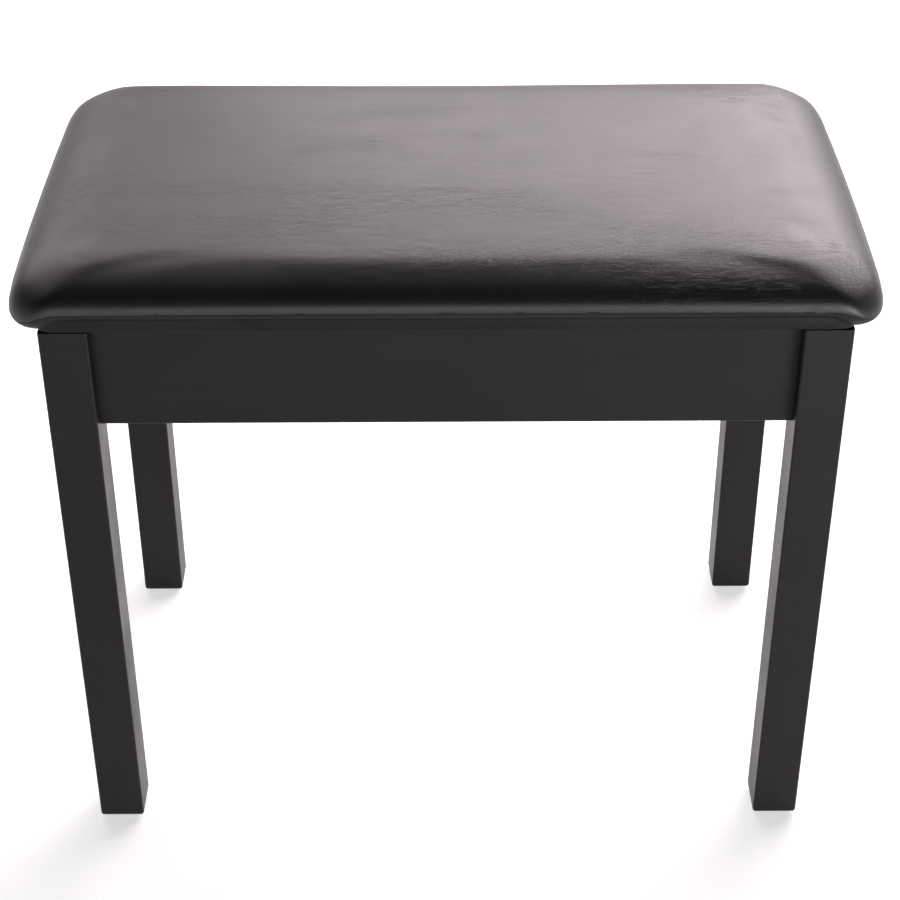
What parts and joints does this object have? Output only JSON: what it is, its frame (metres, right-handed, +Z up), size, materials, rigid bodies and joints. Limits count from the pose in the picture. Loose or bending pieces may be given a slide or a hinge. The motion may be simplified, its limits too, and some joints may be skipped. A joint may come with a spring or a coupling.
{
  "type": "piano bench",
  "caption": "Black piano bench with straight square legs, deep aprons and a padded vinyl seat that lifts on a rear hinge over a storage compartment.",
  "frame": {"origin": "on the floor under the middle of the bench", "axes": "+X along the width, to the sitter facing the piano from the front the right-hand side; -Y is the front; +Z is up"},
  "size_m": [0.564, 0.328, 0.469],
  "materials": {
    "black_painted_wood": "satin black paint",
    "dowel_wood": "bare beech",
    "bottom_board": "black stained hardboard",
    "block_wood": "bare pine",
    "plywood": "bare plywood",
    "foam": "open-cell foam",
    "black_vinyl": "semi-gloss vinyl, fine grain",
    "bumper_rubber": "matte",
    "glide_plastic": "matte",
    "hinge_brass": "brass plated",
    "zinc_steel": "zinc plated"
  },
  "bodies": {
    "frame": {"apron_front": "black_painted_wood", "apron_left": "black_painted_wood", "apron_rear": "black_painted_wood", "apron_right": "black_painted_wood", "bolt_nuts": "zinc_steel", "bolt_washers": "zinc_steel", "compartment_bottom": "bottom_board", "corner_block_front_left": "block_wood", "corner_block_front_right": "block_wood", "corner_block_rear_left": "block_wood", "corner_block_rear_right": "block_wood", "dowels": "dowel_wood", "foot_glides": "glide_plastic", "hanger_bolts": "zinc_steel", "hinge_frame_leaf": "hinge_brass", "hinge_frame_screws": "hinge_brass", "hinge_pin": "hinge_brass", "leg_front_left": "black_painted_wood", "leg_front_right": "black_painted_wood", "leg_rear_left": "black_painted_wood", "leg_rear_right": "black_painted_wood", "lid_bumpers": "bumper_rubber"},
    "lid": {"lid_board": "plywood", "seat_foam": "foam", "seat_cover": "black_vinyl", "cover_staples": "zinc_steel", "hinge_lid_leaf": "hinge_brass", "hinge_lid_screws": "hinge_brass"}
  },
  "joints": [
    {"name": "lid_hinge", "type": "hinge", "parent": "frame", "child": "lid", "pos_m": [0, 0.1568, 0.424], "axis": [-1, 0, 0], "range_deg": [0, 95]}
  ]
}
